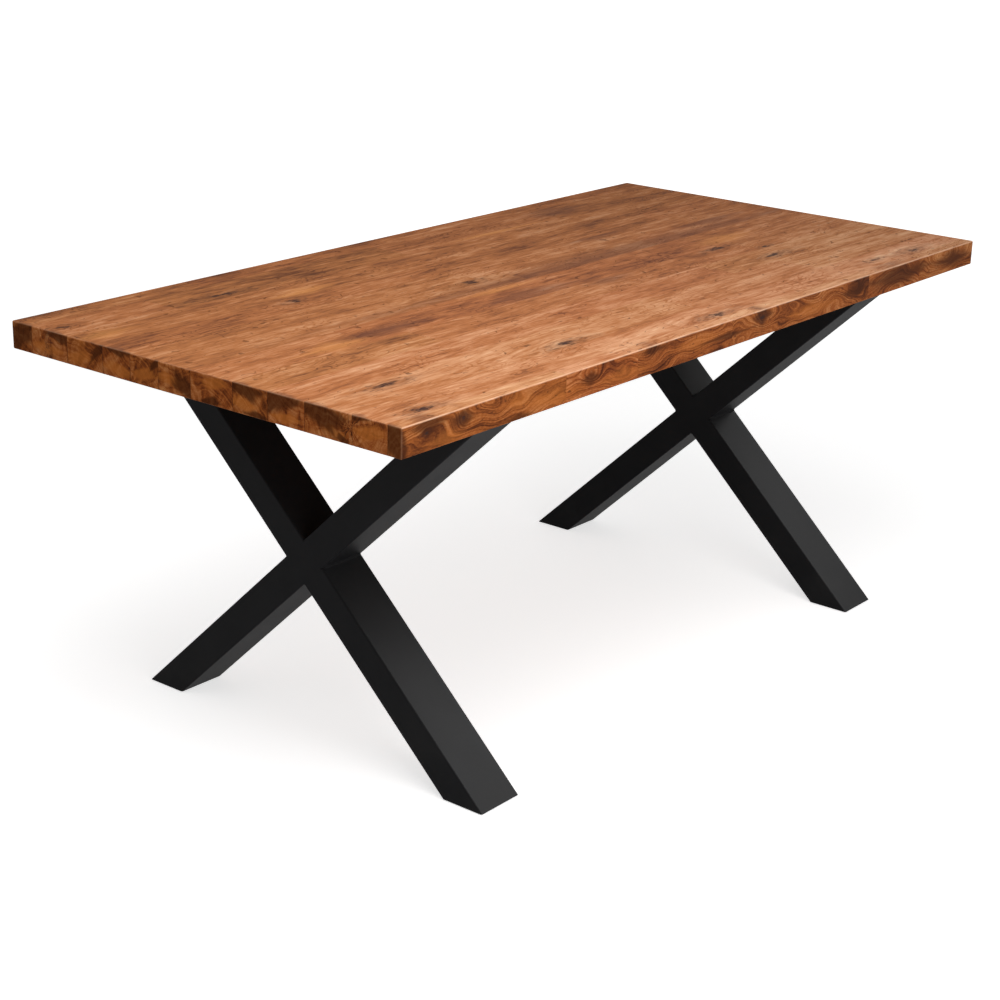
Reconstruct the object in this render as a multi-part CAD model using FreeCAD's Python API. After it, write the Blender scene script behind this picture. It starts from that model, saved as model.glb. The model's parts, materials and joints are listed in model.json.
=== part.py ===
import FreeCAD, Part
import math
import os

from FreeCAD import Vector

# Dining table: a staved wooden top on two crossed frames of rectangular steel tube.
# Lengths are in millimetres. X runs along the table, Y across it and Z up, and the origin is on the
# floor under the middle of the top. The left frame stands at -X, the front long side faces -Y.

# Tabletop
top_length = 1800.0
top_width = 900.0
top_thickness = 50.0
table_height = 750.0
edge_round = 3.0

# Widths of the staves, from the back to the front, as shares of the top's width
stave_width_shares = (
    0.059, 0.103, 0.100, 0.0755, 0.0755, 0.0845, 0.107, 0.087, 0.088, 0.110, 0.080, 0.0305)

# Where the blocks of each stave meet end to end, as shares of the top's length from its left end
block_joint_shares = (
    (0.219, 0.506, 0.797),
    (0.140, 0.478, 0.756),
    (0.244, 0.411, 0.667),
    (0.300, 0.431, 0.833),
    (0.097, 0.444, 0.690),
    (0.300, 0.483, 0.722),
    (0.183, 0.361, 0.758),
    (0.230, 0.550, 0.783),
    (0.383, 0.660),
    (0.233, 0.505, 0.747),
    (0.303, 0.430, 0.900),
    (0.220, 0.330, 0.490, 0.758, 0.872))

# Leg frames of rectangular tube
frame_overhang = 250.0
frame_half_spread = 371.0
tube_depth = 100.0
tube_width = 60.0
tube_wall = 3.0
tube_corner_round = 3.0
weld_leg = 4.0

# Plate on top of each frame
top_plate_thickness = 6.0
top_plate_lip = 4.0
top_plate_corner_round = 8.0

# Bolts through the plate, with slots that let the wood move across its width
bolt_row_spacing = 60.0
inner_bolt_reach = 115.0
outer_bolt_reach = 280.0
bolt_thread_diameter = 8.0
bolt_length = 25.0
bolt_head_flats = 13.0
bolt_head_height = 5.3
bolt_hole_clearance = 0.5
inner_slot_travel = 4.0
outer_slot_travel = 12.0
washer_diameter = 24.0
washer_thickness = 2.0
washer_clearance = 0.2

# Threaded inserts in the wood
insert_diameter = 15.0
insert_length = 22.0
insert_bore_spare = 2.0
insert_clearance = 0.05
thread_clearance = 0.1

# Levelling feet, hidden in the mouths of the tubes
foot_reveal = 2.0
foot_plate_recess = 9.0
foot_plate_thickness = 4.0
foot_nut_flats = 13.0
foot_nut_height = 6.5
screw_thread_diameter = 8.0
screw_spare_thread = 0.5
screw_head_diameter = 16.0
screw_head_height = 3.0
screw_key_flats = 4.0
screw_key_depth = 4.5
level_travel = 10.0
pad_diameter = 36.0
pad_height = 8.0
pad_floor = 2.5
pad_key_hole_diameter = 7.0
pad_edge_round = 1.2
pad_running_clearance = 0.1

# Sizes that follow from the ones above
underside_height = table_height - top_thickness
crossing_height = underside_height / 2
lean = math.degrees(math.atan2(2 * frame_half_spread, underside_height))
lean_slope = frame_half_spread / crossing_height
tube_cut_half_width = tube_width / 2 / math.cos(math.radians(lean))
tube_blank_length = math.hypot(2 * frame_half_spread, underside_height) + 2 * tube_width
tube_top = underside_height - top_plate_thickness
frame_centre = top_length / 2 - frame_overhang - tube_depth / 2
foot_plate_bottom = foot_reveal + foot_plate_recess
foot_plate_top = foot_plate_bottom + foot_plate_thickness
foot_nut_top = foot_plate_top + foot_nut_height
screw_tip = foot_nut_top + level_travel + screw_spare_thread
cut_overrun = tube_width

UP = Vector(0, 0, 1)
ALONG = Vector(1, 0, 0)
ORIGIN = Vector(0, 0, 0)

FRAME_SIDES = {"left": -1, "right": 1}
FOOT_SIDES = {"front": -1, "back": 1}


def save(name, pieces):
    """Write one node, which holds one solid or a group of separate solids."""
    solids = pieces if isinstance(pieces, list) else [pieces]
    shape = solids[0] if len(solids) == 1 else Part.makeCompound(solids)
    shape.exportStep("parts/" + name + ".step")


def hexagon(flats, height, base):
    """Upright hexagonal prism, with its size across the flats, on a base point."""
    radius = flats / 2 / math.cos(math.pi / 6)
    corners = []
    for step in range(7):
        angle = step * math.pi / 3
        corners.append(base + Vector(radius * math.cos(angle), radius * math.sin(angle), 0))
    return Part.Face(Part.makePolygon(corners)).extrude(UP * height)


def slot(radius, travel, height, base):
    """Upright slot-shaped prism that runs along Y, its middle on a base point."""
    reach = Vector(0, travel / 2, 0)
    middle = Part.makeBox(2 * radius, travel, height, base - reach - Vector(radius, 0, 0))
    ends = [Part.makeCylinder(radius, height, base + side * reach, UP) for side in (-1, 1)]
    return middle.multiFuse(ends).removeSplitter()


def bolt_places(frame_side, reaches=(inner_bolt_reach, outer_bolt_reach)):
    """Where one frame's bolts enter the underside of the top."""
    places = []
    for row_side in (-1, 1):
        x = frame_side * frame_centre + row_side * bolt_row_spacing / 2
        for reach in reaches:
            for side in (-1, 1):
                places.append(Vector(x, side * reach, underside_height))
    return places


# Tabletop


def outer_edges(block):
    """Edges of a block on the rim of the top, which are eased."""
    rim = []
    for edge in block.Edges:
        box = edge.BoundBox
        on_end = box.XLength < edge_round and abs(box.Center.x) > top_length / 2 - edge_round
        on_side = box.YLength < edge_round and abs(box.Center.y) > top_width / 2 - edge_round
        level = box.ZLength < edge_round
        if (on_end and on_side) or (level and (on_end or on_side)):
            rim.append(edge)
    return rim


def stave_blocks(back, front, joint_shares):
    """The end-jointed blocks of one stave, bored from below for the threaded inserts."""
    radius = insert_diameter / 2 + insert_clearance
    depth = insert_length + insert_bore_spare
    bores = []
    for frame_side in FRAME_SIDES.values():
        for place in bolt_places(frame_side):
            bores.append(Part.makeCylinder(radius, depth, place, UP))
    ends = [share * top_length - top_length / 2 for share in (0,) + joint_shares + (1,)]
    blocks = []
    for left, right in zip(ends, ends[1:]):
        block = Part.makeBox(
            right - left, back - front, top_thickness, Vector(left, front, underside_height))
        rim = outer_edges(block)
        if rim:
            block = block.makeFillet(edge_round, rim)
        for bore in bores:
            if block.BoundBox.intersect(bore.BoundBox):
                block = block.cut(bore)
        blocks.append(block.Solids[0])
    return blocks


def make_tabletop():
    back = top_width / 2
    whole = sum(stave_width_shares)
    for number, (share, joints) in enumerate(zip(stave_width_shares, block_joint_shares), 1):
        front = back - top_width * share / whole
        save("stave_%02d" % number, stave_blocks(back, front, joints))
        back = front


# Leg frames


def leaning_prism(depth, width, x, foot_side, corner_round=0):
    """Straight prism along one diagonal of a frame, longer than the tube cut from it."""
    prism = Part.makeBox(
        depth, width, tube_blank_length, Vector(-depth / 2, -width / 2, -tube_blank_length / 2))
    if corner_round:
        corners = [edge for edge in prism.Edges if edge.BoundBox.ZLength > width + depth]
        prism = prism.makeFillet(corner_round, corners)
    prism.rotate(ORIGIN, ALONG, foot_side * lean)
    prism.translate(Vector(x, 0, crossing_height))
    return prism


def slab(bottom, top):
    """Level slab that trims a leaning prism between two heights."""
    reach = Vector(top_length, top_width, 0)
    return Part.makeBox(2 * reach.x, 2 * reach.y, top - bottom, Vector(0, 0, bottom) - reach)


def tube(x, foot_side):
    """Tube on one diagonal, cut level at the floor and under the top plate."""
    outside = leaning_prism(tube_depth, tube_width, x, foot_side, tube_corner_round)
    inside = leaning_prism(tube_depth - 2 * tube_wall, tube_width - 2 * tube_wall, x, foot_side)
    return outside.cut(inside).common(slab(foot_reveal, tube_top)).Solids[0]


def weld_beads(x):
    """Fillet beads in the four corners where the half tubes meet the long tube."""
    angle = math.radians(lean)
    long_way = Vector(0, -math.sin(angle), math.cos(angle))
    half_way = Vector(0, math.sin(angle), math.cos(angle))
    run = tube_depth - 2 * tube_corner_round
    # Distance along a tube from the crossing's centre to a corner of the crossing
    spread = tube_width / 2 / math.sin(2 * angle)
    centre = Vector(x - run / 2, 0, crossing_height)
    beads = []
    for long_sign in (-1, 1):
        for half_sign in (-1, 1):
            corner = centre + long_way * (long_sign * spread) + half_way * (half_sign * spread)
            outline = [
                corner,
                corner + long_way * (long_sign * weld_leg),
                corner + half_way * (half_sign * weld_leg),
                corner]
            beads.append(Part.Face(Part.makePolygon(outline)).extrude(ALONG * run))
    return beads


def top_plate(x, frame_side):
    """Flat bar that closes the tube tops, slotted for the bolts into the wood."""
    half_length = lean_slope * (tube_top - crossing_height) + tube_cut_half_width + top_plate_lip
    corner = Vector(x - tube_depth / 2, -half_length, tube_top)
    plate = Part.makeBox(tube_depth, 2 * half_length, top_plate_thickness, corner)
    corners = [edge for edge in plate.Edges if edge.BoundBox.ZLength > top_plate_thickness / 2]
    plate = plate.makeFillet(top_plate_corner_round, corners)
    radius = bolt_thread_diameter / 2 + bolt_hole_clearance
    rows = ((inner_bolt_reach, inner_slot_travel), (outer_bolt_reach, outer_slot_travel))
    for reach, travel in rows:
        for place in bolt_places(frame_side, (reach,)):
            hole_base = Vector(place.x, place.y, tube_top)
            plate = plate.cut(slot(radius, travel, top_plate_thickness, hole_base))
    return plate.Solids[0]


def make_leg_frame(name, frame_side):
    x = frame_side * frame_centre
    save(name + "_long_tube", tube(x, FOOT_SIDES["back"]))
    long_blank = leaning_prism(tube_depth + 2 * cut_overrun, tube_width, x, FOOT_SIDES["back"])
    halves = tube(x, FOOT_SIDES["front"]).cut(long_blank).Solids
    lower, upper = sorted(halves, key=lambda half: half.CenterOfMass.z)
    save(name + "_lower_half_tube", lower)
    save(name + "_upper_half_tube", upper)
    save(name + "_weld_beads", weld_beads(x))
    save(name + "_top_plate", top_plate(x, frame_side))


# Bolts, washers and inserts that hold a frame to the wood


def plate_bolt(place):
    """Hexagon-head bolt, its head pressed up against the washer under the plate."""
    seat = place - UP * (top_plate_thickness + washer_thickness)
    head = hexagon(bolt_head_flats, bolt_head_height, seat - UP * bolt_head_height)
    shank = Part.makeCylinder(bolt_thread_diameter / 2, bolt_length, seat, UP)
    return head.fuse(shank).Solids[0]


def plate_washer(place):
    seat = place - UP * (top_plate_thickness + washer_thickness)
    disc = Part.makeCylinder(washer_diameter / 2, washer_thickness, seat, UP)
    hole_radius = bolt_thread_diameter / 2 + washer_clearance
    return disc.cut(Part.makeCylinder(hole_radius, washer_thickness, seat, UP))


def threaded_insert(place):
    sleeve = Part.makeCylinder(insert_diameter / 2, insert_length, place, UP)
    bore_radius = bolt_thread_diameter / 2 + thread_clearance
    return sleeve.cut(Part.makeCylinder(bore_radius, insert_length, place, UP))


def make_fasteners(name, frame_side):
    places = bolt_places(frame_side)
    save(name + "_plate_bolts", [plate_bolt(place) for place in places])
    save(name + "_plate_washers", [plate_washer(place) for place in places])
    save(name + "_threaded_inserts", [threaded_insert(place) for place in places])


# Levelling feet


def foot_axis(frame_side, foot_side):
    """Floor point under a levelling screw, which stands where its pad clears the tube's inner
    wall by as much as its tip clears the outer wall."""
    pad_room = frame_half_spread - lean_slope * foot_reveal + pad_diameter / 2
    tip_room = frame_half_spread - lean_slope * screw_tip - screw_thread_diameter / 2
    return Vector(frame_side * frame_centre, foot_side * (pad_room + tip_room) / 2, 0)


def foot_plate(axis, foot_side):
    """Plate that fills the tube's mouth above the pad, bored for the levelling screw."""
    fill = leaning_prism(
        tube_depth - 2 * tube_wall, tube_width - 2 * tube_wall, axis.x, foot_side)
    plate = fill.common(slab(foot_plate_bottom, foot_plate_top))
    radius = screw_thread_diameter / 2 + thread_clearance
    base = axis + UP * foot_plate_bottom
    return plate.cut(Part.makeCylinder(radius, foot_plate_thickness, base, UP)).Solids[0]


def foot_nut(axis):
    base = axis + UP * foot_plate_top
    radius = screw_thread_diameter / 2 + thread_clearance
    nut = hexagon(foot_nut_flats, foot_nut_height, base)
    return nut.cut(Part.makeCylinder(radius, foot_nut_height, base, UP))


def levelling_screw(axis):
    """Screw with a flat head that turns inside the pad, and a key socket from below."""
    head_base = axis + UP * (pad_floor + pad_running_clearance)
    head = Part.makeCylinder(screw_head_diameter / 2, screw_head_height, head_base, UP)
    shank = Part.makeCylinder(screw_thread_diameter / 2, screw_tip - head_base.z, head_base, UP)
    socket = hexagon(screw_key_flats, screw_key_depth, head_base)
    return head.fuse(shank).removeSplitter().cut(socket).Solids[0]


def glide_pad(axis):
    """Round pad under the foot, moulded round the screw's head."""
    pad = Part.makeCylinder(pad_diameter / 2, pad_height, axis, UP)
    rims = [edge for edge in pad.Edges if edge.BoundBox.ZLength < pad_edge_round]
    pad = pad.makeFillet(pad_edge_round, rims)
    pocket_radius = screw_head_diameter / 2 + pad_running_clearance
    pocket_height = screw_head_height + 2 * pad_running_clearance
    shank_radius = screw_thread_diameter / 2 + pad_running_clearance
    pocket_base = axis + UP * pad_floor
    pad = pad.cut(Part.makeCylinder(pocket_radius, pocket_height, pocket_base, UP))
    pad = pad.cut(Part.makeCylinder(shank_radius, pad_height - pad_floor, pocket_base, UP))
    return pad.cut(Part.makeCylinder(pad_key_hole_diameter / 2, pad_floor, axis, UP)).Solids[0]


def make_feet():
    nuts = []
    for frame_name, frame_side in FRAME_SIDES.items():
        for foot_name, foot_side in FOOT_SIDES.items():
            name = frame_name + "_" + foot_name
            axis = foot_axis(frame_side, foot_side)
            save(name + "_foot_plate", foot_plate(axis, foot_side))
            save(name + "_levelling_screw", levelling_screw(axis))
            save(name + "_glide_pad", glide_pad(axis))
            nuts.append(foot_nut(axis))
    save("foot_weld_nuts", nuts)


os.makedirs("parts", exist_ok=True)
make_tabletop()
for frame_name, frame_side in FRAME_SIDES.items():
    make_leg_frame(frame_name, frame_side)
    make_fasteners(frame_name, frame_side)
make_feet()
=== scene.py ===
import json
import math

import bpy
from mathutils import Matrix, Vector


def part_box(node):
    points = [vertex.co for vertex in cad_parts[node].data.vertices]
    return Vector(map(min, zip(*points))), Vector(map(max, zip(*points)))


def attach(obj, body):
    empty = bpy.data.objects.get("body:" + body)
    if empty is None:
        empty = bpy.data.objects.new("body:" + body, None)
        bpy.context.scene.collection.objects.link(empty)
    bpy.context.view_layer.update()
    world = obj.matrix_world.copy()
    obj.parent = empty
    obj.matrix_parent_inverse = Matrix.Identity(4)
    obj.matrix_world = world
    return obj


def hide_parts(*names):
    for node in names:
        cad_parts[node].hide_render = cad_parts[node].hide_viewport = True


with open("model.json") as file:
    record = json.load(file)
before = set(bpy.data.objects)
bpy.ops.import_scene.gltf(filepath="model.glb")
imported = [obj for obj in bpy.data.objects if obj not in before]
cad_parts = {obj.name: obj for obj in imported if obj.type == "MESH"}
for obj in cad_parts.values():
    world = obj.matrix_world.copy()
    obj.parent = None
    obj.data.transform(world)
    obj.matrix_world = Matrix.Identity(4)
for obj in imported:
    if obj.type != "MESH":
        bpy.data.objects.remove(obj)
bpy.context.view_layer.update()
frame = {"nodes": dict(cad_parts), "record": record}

# A dining table: a top of end-jointed wooden staves on two crossed frames of black steel tube.
# Metres throughout. X runs along the table, Y across it and Z up from the floor.

nodes = frame["nodes"]
stave_names = sorted(name for name in nodes if name.startswith("stave_"))
top_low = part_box(stave_names[-1])[0]
top_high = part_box(stave_names[0])[1]

# The camera, from the photograph's vanishing lines
camera_place = Vector((-3.0594, -2.3750, 1.6612))
camera_azimuth = math.radians(-51.18)
camera_elevation = math.radians(19.43)
camera_roll = math.radians(1.34)
camera_lens = 74.5

# Lamps, with power in watts. The gloss lamp gives no diffuse light and shows only in sheen, mostly the
# steel's.
lamps = {
    "key_lamp": {"place": (-0.80, -0.82, 2.40), "aim": (-0.74, -0.72, 0.0), "size": 2.0, "power": 44},
    "front_lamp": {"place": (-1.50, -2.90, 1.15), "aim": (-0.75, 0.0, 0.55), "size": 2.0, "power": 24},
    "gloss_lamp": {"place": (1.70, -1.25, 2.30), "aim": (-0.30, -0.30, 0.10), "size": 1.6, "power": 320,
                   "gloss_only": True},
}
sky_light = 0.30

# The floor glows white to the eye, less so near the table, where its shadow falls
floor_half_width = 40.0
floor_glow_near = 0.66
floor_glow_far = 1.0
glow_fade_start = 1.8
glow_fade_end = 4.5
floor_colour = (0.82, 0.82, 0.82, 1.0)
floor_roughness = 0.9
white = (1.0, 1.0, 1.0, 1.0)

# Colours as screen levels of 0 to 255. A run of tones also gives each tone's place on it.
brown_wood = ((0.00, (48, 28, 19)), (0.24, (106, 63, 39)), (0.50, (168, 107, 63)),
              (0.74, (201, 148, 107)), (1.00, (227, 190, 152)))
red_wood = ((0.00, (48, 27, 19)), (0.24, (106, 60, 39)), (0.50, (168, 103, 62)),
            (0.74, (201, 144, 106)), (1.00, (227, 186, 150)))
golden_wood = (212, 143, 80)
banded_wood = (100, 62, 47)
patched_wood = (74, 42, 25)
knot_brown = (62, 40, 33)
fleck_brown = (74, 41, 24)
crack_brown = (36, 22, 15)
# Painted highlight colour for the rounded upper edges of the top
painted_highlight_wood = (232, 186, 152)
coat_tones = ((0.30, (24, 24, 25)), (0.70, (29, 29, 30)))
dusty_coat = (44, 43, 42)
coat_speck = (52, 52, 54)
bright_zinc = (196, 200, 205)
dull_zinc = (150, 155, 162)
bright_yellow_zinc = (204, 178, 112)
dull_yellow_zinc = (164, 140, 96)
nylon_black = (22, 22, 23)
scuffed_nylon = (66, 64, 62)

# The sides and ends of the staves are darker and redder than the top by these factors
side_stain = (0.96, 0.72, 0.465)
end_stain = (0.765, 0.555, 0.34)

# The timber's figure
edge_round = 0.003
seam_width = 0.0011
joint_half_width = 0.0005
joint_core = 0.0002
growth_spacing = 0.0075
buried_knot_lift = 0.032

# How strongly marks show in the wood
golden_on_top = 0.42
golden_on_side = 0.30
golden_on_end = 0.55
band_strength = 0.55
patch_strength = 0.80
fleck_strength = 0.62
joint_strength = 0.30
seam_on_top = 0.05
seam_on_end = 0.70

# The ragged edges of bands on the top, and of patches on the long side and on the end
top_edges = {"Stretch": (7.0, 95.0, 95.0), "Softness": 0.75, "Ragged": 1.8}
side_edges = {"Stretch": (13.0, 13.0, 48.0), "Softness": 0.60, "Ragged": 1.8}
end_edges = {"Stretch": (30.0, 70.0, 16.0), "Softness": 0.34, "Ragged": 1.1}
wedge_lean = 0.9

# Painted light and sheen: how much paler each stave is on the top than the middling one, from the back of the
# table to the front, so that the top is lighter towards the front
painted_light_by_stave = (-0.05, -0.05, -0.04, -0.03, -0.02, -0.03, -0.02, 0.0, 0.04, 0.08, 0.11, 0.11)

# Welds where the tubes of a frame cross
tube_corner_round = 0.003
ground_weld_steps = 6
weld_leg = 0.004
weld_steps = 7
weld_bulge = 1.5
weld_end_share = 0.7
ripple_pitch = 0.0024
ripple_steps = 6
ripple_share = 0.16
ripple_lag = 0.45
sharp_angle = math.radians(40)

# Levelling screws
thread_radius = 0.004
thread_pitch = 0.00125
thread_depth = 0.00065
thread_steps = 8
thread_sides = 24
head_height = 0.003
head_chamfer = 0.0004
socket_flats = 0.004
socket_depth = 0.0045

# Marks in the wood. Each row is a stave, the mark's centre and its half sizes. A mark runs right
# through the stave where its half size is as large as through.
through = 1000.0
end_depth = 0.015
top_face = top_high.z
front = top_low.y
back = top_high.y
left = top_low.x

top_knots = (
    ("stave_02", (-0.520, 0.326, top_face), (0.056, 0.015, through)),
    ("stave_02", (-0.872, 0.350, top_face), (0.020, 0.010, through)),
    ("stave_04", (-0.467, 0.200, top_face), (0.024, 0.014, through)),
    ("stave_06", (-0.128, 0.066, top_face), (0.028, 0.013, through)),
    ("stave_08", (0.445, -0.104, top_face), (0.034, 0.016, through)),
    ("stave_08", (0.537, -0.156, top_face), (0.018, 0.010, through)),
    ("stave_09", (0.485, -0.220, top_face), (0.038, 0.013, through)),
    ("stave_10", (-0.745, -0.284, top_face), (0.034, 0.013, through)),
    ("stave_10", (-0.352, -0.334, top_face), (0.032, 0.016, through)),
    ("stave_11", (-0.806, -0.408, top_face), (0.030, 0.014, through)),
    ("stave_11", (0.585, -0.390, top_face), (0.024, 0.009, through)),
    ("stave_11", (0.720, -0.398, top_face), (0.030, 0.013, through)),
    ("stave_11", (-0.013, -0.412, top_face), (0.036, 0.014, through)),
)
side_knots = (
    ("stave_12", (-0.844, front, 0.729), (0.0062, through, 0.0052)),
    ("stave_12", (-0.759, front, 0.733), (0.008, through, 0.006)),
    ("stave_12", (0.081, front, 0.736), (0.010, through, 0.009)),
)

# Soft dark bands on the top, then dark patches on the long side and on the end. The long side's last two
# patches are painted shade, where the light falls off towards the far end.
dark_bands = (
    ("stave_02", (0.510, 0.360, top_face), (0.090, 0.044, through)),
    ("stave_02", (0.500, 0.345, top_face), (0.060, 0.015, through)),
    ("stave_05", (0.355, 0.140, top_face), (0.080, 0.022, through)),
    ("stave_06", (0.270, 0.020, top_face), (0.800, 0.040, through)),
    ("stave_06", (0.680, 0.064, top_face), (0.120, 0.024, through)),
    ("stave_07", (-0.495, -0.056, top_face), (0.110, 0.021, through)),
    ("stave_07", (-0.115, -0.072, top_face), (0.140, 0.033, through)),
    ("stave_08", (0.070, -0.108, top_face), (0.070, 0.021, through)),
)
side_dark_patches_and_shade = (
    ("stave_12", (-0.838, front, 0.742), (0.034, through, 0.018)),
    ("stave_12", (-0.759, front, 0.733), (0.026, through, 0.016)),
    ("stave_12", (-0.625, front, 0.704), (0.034, through, 0.007)),
    ("stave_12", (-0.437, front, 0.730), (0.026, through, 0.013)),
    ("stave_12", (-0.262, front, 0.742), (0.036, through, 0.011)),
    ("stave_12", (-0.030, front, 0.723), (0.090, through, 0.005)),
    ("stave_12", (0.081, front, 0.738), (0.026, through, 0.020)),
    ("stave_12", (0.420, front, 0.728), (0.050, through, 0.016)),
    # Painted shade: these two patches darken the far end of the long side
    ("stave_12", (0.580, front, 0.730), (0.130, through, 0.022)),
    ("stave_12", (0.810, front, 0.726), (0.075, through, 0.016)),
)
end_dark_patches = (
    ("stave_01", (left, 0.432, 0.726), (end_depth, 0.040, 0.060)),
    ("stave_02", (left, 0.328, 0.744), (end_depth, 0.034, 0.014)),
    ("stave_03", (left, 0.224, 0.738), (end_depth, 0.012, 0.026)),
    ("stave_04", (left, 0.176, 0.748), (end_depth, 0.034, 0.011)),
    ("stave_05", (left, 0.086, 0.742), (end_depth, 0.012, 0.014)),
    ("stave_06", (left, 0.012, 0.716), (end_depth, 0.036, 0.026)),
    ("stave_07", (left, -0.044, 0.706), (end_depth, 0.026, 0.011)),
    ("stave_08", (left, -0.150, 0.704), (end_depth, 0.030, 0.008)),
    ("stave_08", (left, -0.118, 0.742), (end_depth, 0.044, 0.018)),
    ("stave_09", (left, -0.196, 0.742), (end_depth, 0.056, 0.030)),
    ("stave_10", (left, -0.284, 0.738), (end_depth, 0.056, 0.032)),
    ("stave_10", (left, -0.330, 0.706), (end_depth, 0.014, 0.010)),
    ("stave_11", (left, -0.360, 0.748), (end_depth, 0.030, 0.008)),
    ("stave_12", (left, -0.437, 0.726), (end_depth, 0.040, 0.110)),
)

# Golden bands on the top, then golden patches on the long side and on the end
golden_bands = (
    ("stave_02", (0.240, 0.315, top_face), (0.150, 0.009, through)),
    ("stave_03", (-0.850, 0.268, top_face), (0.060, 0.022, through)),
    ("stave_03", (-0.400, 0.240, top_face), (0.070, 0.022, through)),
    ("stave_07", (-0.640, -0.068, top_face), (0.075, 0.024, through)),
    ("stave_07", (0.545, -0.062, top_face), (0.100, 0.026, through)),
    ("stave_07", (-0.150, -0.008, top_face), (0.110, 0.012, through)),
)
side_golden_patches = (
    ("stave_12", (-0.800, front, 0.711), (0.050, through, 0.011)),
    ("stave_12", (-0.626, front, 0.731), (0.040, through, 0.014)),
    ("stave_12", (-0.530, front, 0.720), (0.080, through, 0.020)),
    ("stave_12", (-0.350, front, 0.716), (0.070, through, 0.014)),
    ("stave_12", (-0.130, front, 0.730), (0.070, through, 0.014)),
    ("stave_12", (0.250, front, 0.720), (0.090, through, 0.014)),
)
end_golden_patches = (
    ("stave_02", (left, 0.354, 0.718), (end_depth, 0.046, 0.013)),
    ("stave_03", (left, 0.272, 0.718), (end_depth, 0.034, 0.016)),
    ("stave_04", (left, 0.176, 0.716), (end_depth, 0.040, 0.013)),
    ("stave_05", (left, 0.112, 0.720), (end_depth, 0.030, 0.014)),
    ("stave_06", (left, 0.052, 0.724), (end_depth, 0.034, 0.012)),
    ("stave_07", (left, -0.052, 0.738), (end_depth, 0.030, 0.013)),
    ("stave_08", (left, -0.118, 0.718), (end_depth, 0.034, 0.013)),
    ("stave_09", (left, -0.212, 0.714), (end_depth, 0.034, 0.010)),
    ("stave_10", (left, -0.312, 0.714), (end_depth, 0.022, 0.011)),
    ("stave_11", (left, -0.386, 0.728), (end_depth, 0.034, 0.016)),
)

# Buried knots, which the long sides' growth lines go round
buried_knots = (
    ("stave_12", (-0.690, front, 0.744), (0.042, through, 0.024)),
    ("stave_12", (-0.437, front, 0.722), (0.036, through, 0.022)),
    ("stave_12", (-0.285, front, 0.744), (0.050, through, 0.026)),
    ("stave_12", (0.110, front, 0.740), (0.034, through, 0.020)),
    ("stave_12", (0.430, front, 0.716), (0.050, through, 0.022)),
    ("stave_12", (0.760, front, 0.738), (0.040, through, 0.020)),
    ("stave_01", (-0.520, back, 0.730), (0.045, through, 0.022)),
    ("stave_01", (0.080, back, 0.718), (0.050, through, 0.024)),
    ("stave_01", (0.610, back, 0.742), (0.040, through, 0.020)),
)

# The heart of the stem that each stave was cut from, across and up, as its end grain shows
hearts = {
    "stave_01": (0.480, 0.735), "stave_02": (0.322, 0.790), "stave_03": (0.290, 0.655),
    "stave_04": (0.120, 0.790), "stave_05": (0.155, 0.665), "stave_06": (0.052, 0.800),
    "stave_07": (-0.030, 0.650), "stave_08": (-0.060, 0.660), "stave_09": (-0.236, 0.800),
    "stave_10": (-0.349, 0.728), "stave_11": (-0.349, 0.728), "stave_12": (-0.480, 0.680),
}


def paint(levels):
    """Screen levels of 0 to 255 as the linear colour that the shaders use."""
    def linear(level):
        share = level / 255
        return share / 12.92 if share <= 0.04045 else ((share + 0.055) / 1.055) ** 2.4
    red, green, blue = levels
    return (linear(red), linear(green), linear(blue), 1.0)


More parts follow.
